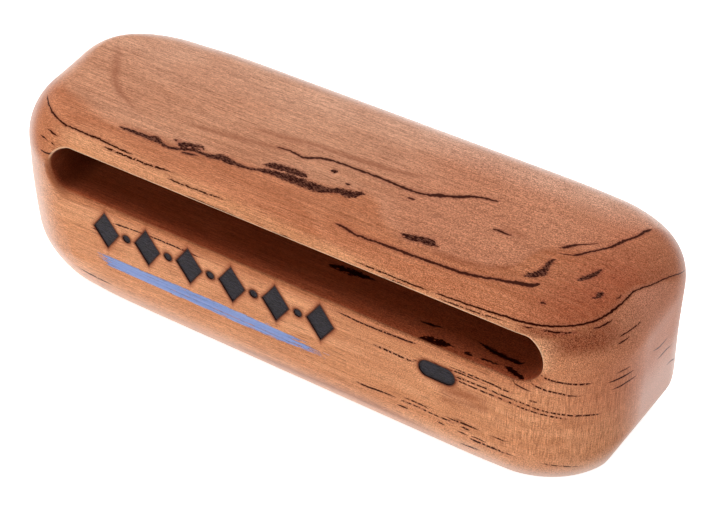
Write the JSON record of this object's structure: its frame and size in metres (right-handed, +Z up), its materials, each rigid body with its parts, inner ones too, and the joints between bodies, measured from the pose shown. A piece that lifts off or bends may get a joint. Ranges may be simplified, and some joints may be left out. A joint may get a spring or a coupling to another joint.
{
  "type": "woodblock",
  "caption": "Rounded hardwood block for hand percussion, with a long routed slot in its front under a thin sounding plate, a painted band and burned-in ornament.",
  "frame": {"origin": "middle of the flat underside that the block rests on", "axes": "+X along the block, the slotted front faces -Y, +Z up through the sounding plate"},
  "size_m": [0.19, 0.0666, 0.0625],
  "materials": {
    "hardwood": "satin",
    "blue_paint": "matte",
    "charred_wood": "matte"
  },
  "bodies": {
    "root": {"block": "hardwood", "paint_band": "blue_paint", "burned_row": "charred_wood", "burned_oval": "charred_wood"}
  },
  "joints": []
}
